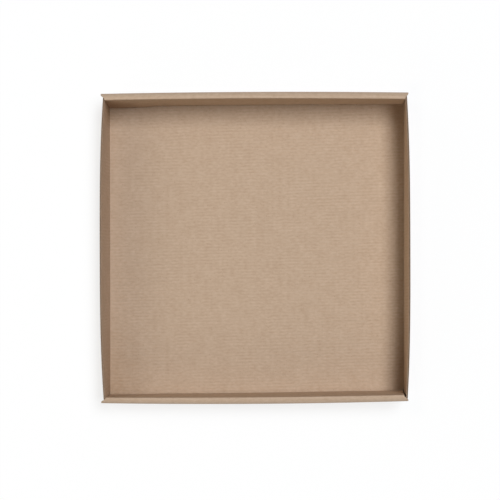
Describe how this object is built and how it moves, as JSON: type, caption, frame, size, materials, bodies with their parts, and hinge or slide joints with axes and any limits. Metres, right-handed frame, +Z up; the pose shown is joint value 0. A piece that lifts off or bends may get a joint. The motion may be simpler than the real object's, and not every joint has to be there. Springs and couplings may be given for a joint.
{
  "type": "catering tray",
  "caption": "Shallow square tray folded from corrugated kraft board, with single end walls and rolled double side walls, open on top to carry food platters.",
  "frame": {"origin": "middle of the floor's underside, on the surface that the tray stands on", "axes": "+Z up, X along the flutes from end wall to end wall, Y from rolled wall to rolled wall"},
  "size_m": [0.3178, 0.3186, 0.05],
  "materials": {
    "kraft_board": "matte uncoated brown kraft liner with a faint washboard of flutes"
  },
  "bodies": {
    "root": {"tray": "kraft_board"}
  },
  "joints": []
}
